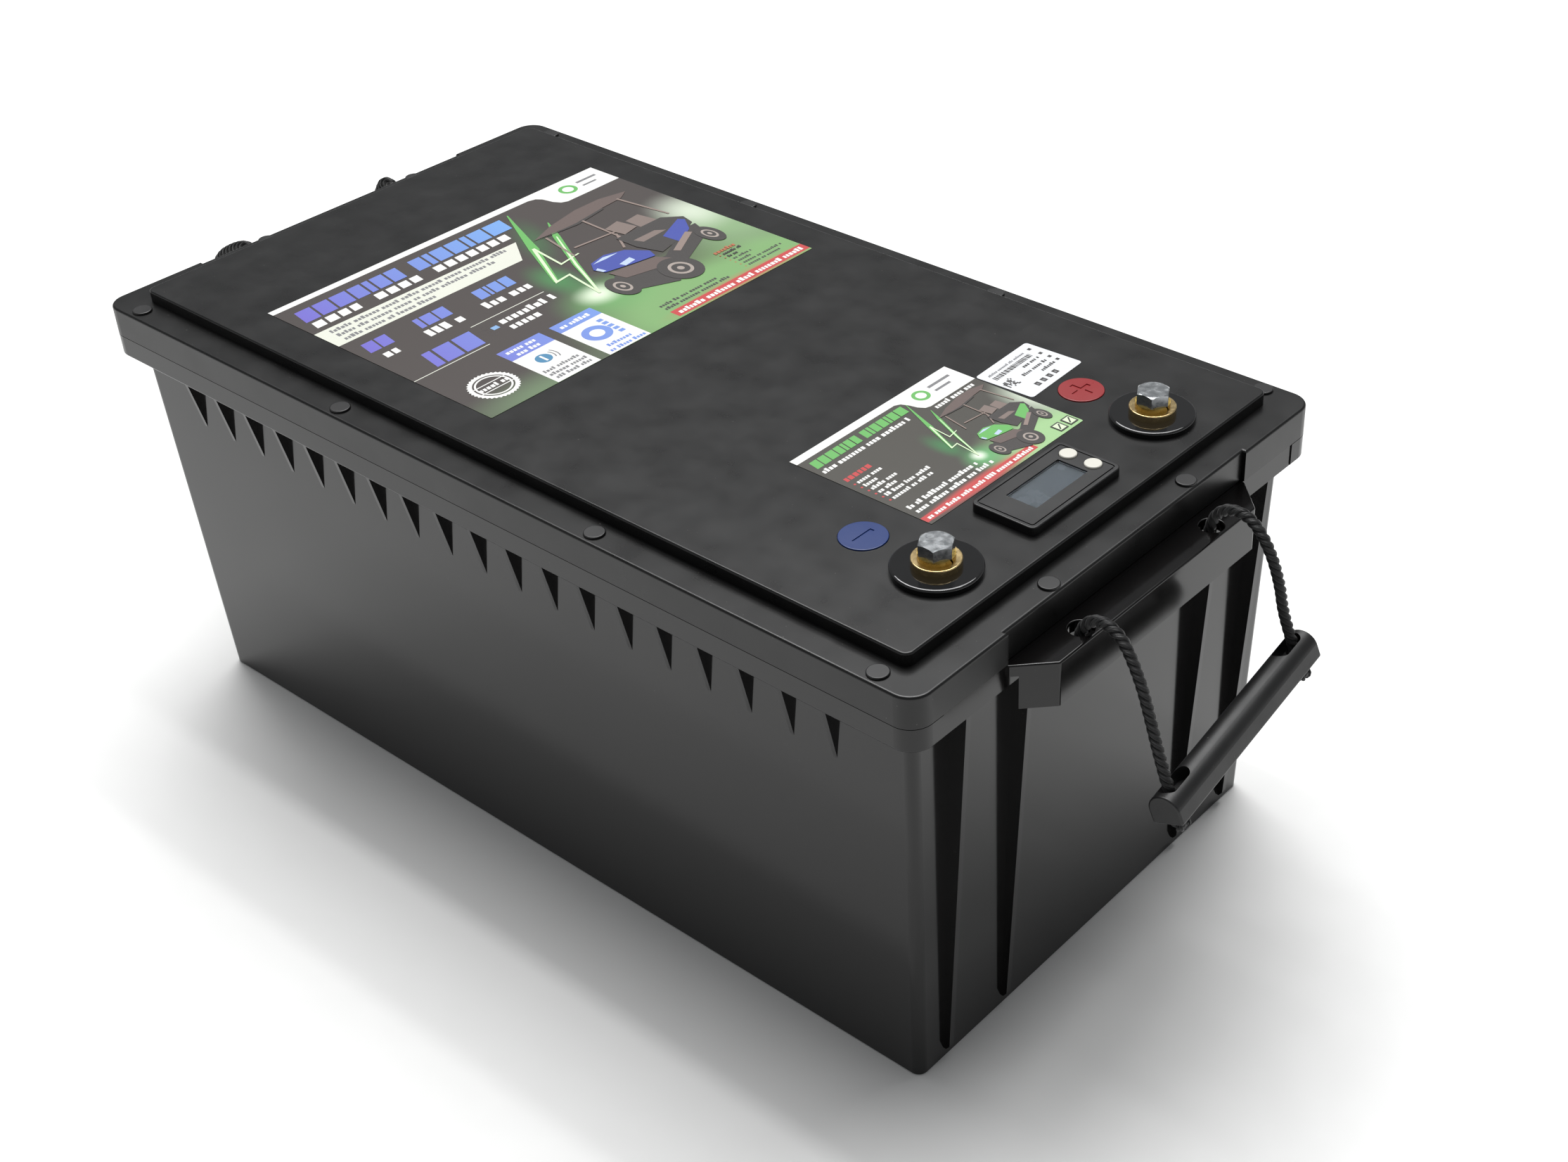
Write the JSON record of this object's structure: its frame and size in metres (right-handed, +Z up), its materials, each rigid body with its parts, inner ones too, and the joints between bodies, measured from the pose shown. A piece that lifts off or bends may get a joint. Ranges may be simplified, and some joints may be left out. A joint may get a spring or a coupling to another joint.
{
  "type": "deep cycle battery",
  "caption": "Large rectangular lithium battery with bolt-on terminals, a charge meter with buttons, and a swinging rope handle at each end.",
  "frame": {"origin": "centre of the bottom of the part's bounding box, on the surface the case stands on", "axes": "+Z up, +X along the length towards the end with the terminals and the meter, -Y the long side nearest the minus terminal"},
  "size_m": [0.624, 0.268, 0.2297],
  "materials": {
    "case_plastic": "black ABS, semi-gloss moulded",
    "lid_plastic": "black ABS, satin moulded",
    "boss_plastic": "black polished plastic",
    "cap_plastic": "black polyethylene",
    "meter_plastic": "black ABS, fine texture",
    "seal_rubber": "black silicone rubber",
    "terminal_brass": "turned brass",
    "bolt_steel": "zinc plated steel",
    "washer_steel": "yellow zinc plated spring steel",
    "screw_steel": "zinc plated steel",
    "disc_blue": "blue moulded plastic",
    "disc_red": "red moulded plastic",
    "window_clear": "clear acrylic",
    "display_glass": "unlit liquid crystal display",
    "button_plastic": "off-white moulded plastic",
    "board_green": "green solder mask on glass epoxy",
    "label_dark": "printed vinyl with gloss laminate",
    "label_white": "printed white polyester",
    "cell_can": "aluminium can in blue film",
    "spacer_sheet": "white glass epoxy sheet",
    "foam": "closed-cell foam",
    "plate_aluminium": "mill finish aluminium",
    "band_steel": "stainless steel strap",
    "copper": "nickel-free copper bar",
    "nut_steel": "zinc plated steel",
    "heatsink_aluminium": "black anodised aluminium",
    "lug_copper": "tin plated copper",
    "cable_black": "black silicone cable",
    "cable_red": "red silicone cable",
    "loom": "wires in a black sleeve",
    "rope_black": "black twisted polypropylene rope",
    "grip_plastic": "black moulded polyethylene"
  },
  "bodies": {
    "battery": {"case": "case_plastic", "lid": "lid_plastic", "lid_seal": "seal_rubber", "lid_screws": "screw_steel", "screw_caps": "cap_plastic", "terminal_boss_minus": "boss_plastic", "terminal_boss_plus": "boss_plastic", "terminal_minus": "terminal_brass", "terminal_plus": "terminal_brass", "terminal_seals": "seal_rubber", "terminal_nuts": "terminal_brass", "polarity_disc_minus": "disc_blue", "polarity_disc_plus": "disc_red", "meter_bezel": "meter_plastic", "meter_window": "window_clear", "meter_display": "display_glass", "meter_board": "board_green", "meter_cable": "loom", "main_label": "label_dark", "safety_label": "label_dark", "serial_label": "label_white", "cell_row_minus": "cell_can", "cell_row_plus": "cell_can", "cell_spacers": "spacer_sheet", "base_pads": "foam", "end_plates": "plate_aluminium", "compression_bands": "band_steel", "busbars": "copper", "busbar_nuts": "nut_steel", "bms_tray": "spacer_sheet", "bms_board": "board_green", "bms_heatsink": "heatsink_aluminium", "bms_screws": "screw_steel", "lead_lugs": "lug_copper", "lead_cell_minus": "cable_black", "lead_minus": "cable_black", "lead_plus": "cable_red", "sense_harness": "loom", "bracket_knots": "rope_black"},
    "front_handle": {"front_grip": "grip_plastic", "front_grip_knots": "rope_black", "front_rope_near": "rope_black", "front_rope_far": "rope_black"},
    "rear_handle": {"rear_grip": "grip_plastic", "rear_grip_knots": "rope_black", "rear_rope_near": "rope_black", "rear_rope_far": "rope_black"},
    "meter_button_inner": {"meter_button_inner": "button_plastic"},
    "meter_button_outer": {"meter_button_outer": "button_plastic"},
    "washer_minus": {"spring_washer_minus": "washer_steel"},
    "bolt_minus": {"bolt_minus": "bolt_steel"},
    "washer_plus": {"spring_washer_plus": "washer_steel"},
    "bolt_plus": {"bolt_plus": "bolt_steel"}
  },
  "joints": [
    {"name": "front_handle_swing", "type": "hinge", "parent": "battery", "child": "front_handle", "pos_m": [0.2542, 0, 0.198], "axis": [0, -1, 0], "range_deg": [-30, 150], "deforming": ["front_rope_near", "front_rope_far"]},
    {"name": "rear_handle_swing", "type": "hinge", "parent": "battery", "child": "rear_handle", "pos_m": [-0.2542, 0, 0.198], "axis": [0, 1, 0], "range_deg": [-30, 150], "deforming": ["rear_rope_near", "rear_rope_far"]},
    {"name": "meter_button_inner_press", "type": "slide", "parent": "battery", "child": "meter_button_inner", "axis": [0, 0, -1], "range_m": [0, 0.0008], "stiffness_N_per_m": 600},
    {"name": "meter_button_outer_press", "type": "slide", "parent": "battery", "child": "meter_button_outer", "axis": [0, 0, -1], "range_m": [0, 0.0008], "stiffness_N_per_m": 600},
    {"name": "bolt_minus_lift", "type": "slide", "parent": "battery", "child": "washer_minus", "axis": [0, 0, 1], "range_m": [0, 0.016]},
    {"name": "bolt_minus_turn", "type": "hinge", "parent": "washer_minus", "child": "bolt_minus", "pos_m": [0.206, -0.071, 0.2242], "axis": [0, 0, 1], "range_deg": [0, 4609]},
    {"name": "bolt_plus_lift", "type": "slide", "parent": "battery", "child": "washer_plus", "axis": [0, 0, 1], "range_m": [0, 0.016]},
    {"name": "bolt_plus_turn", "type": "hinge", "parent": "washer_plus", "child": "bolt_plus", "pos_m": [0.206, 0.071, 0.2242], "axis": [0, 0, 1], "range_deg": [0, 4609]}
  ],
  "couplings": [
    {"joint": "bolt_minus_turn", "follows": "bolt_minus_lift", "rad_per_m": 5026.6},
    {"joint": "bolt_plus_turn", "follows": "bolt_plus_lift", "rad_per_m": 5026.6}
  ]
}
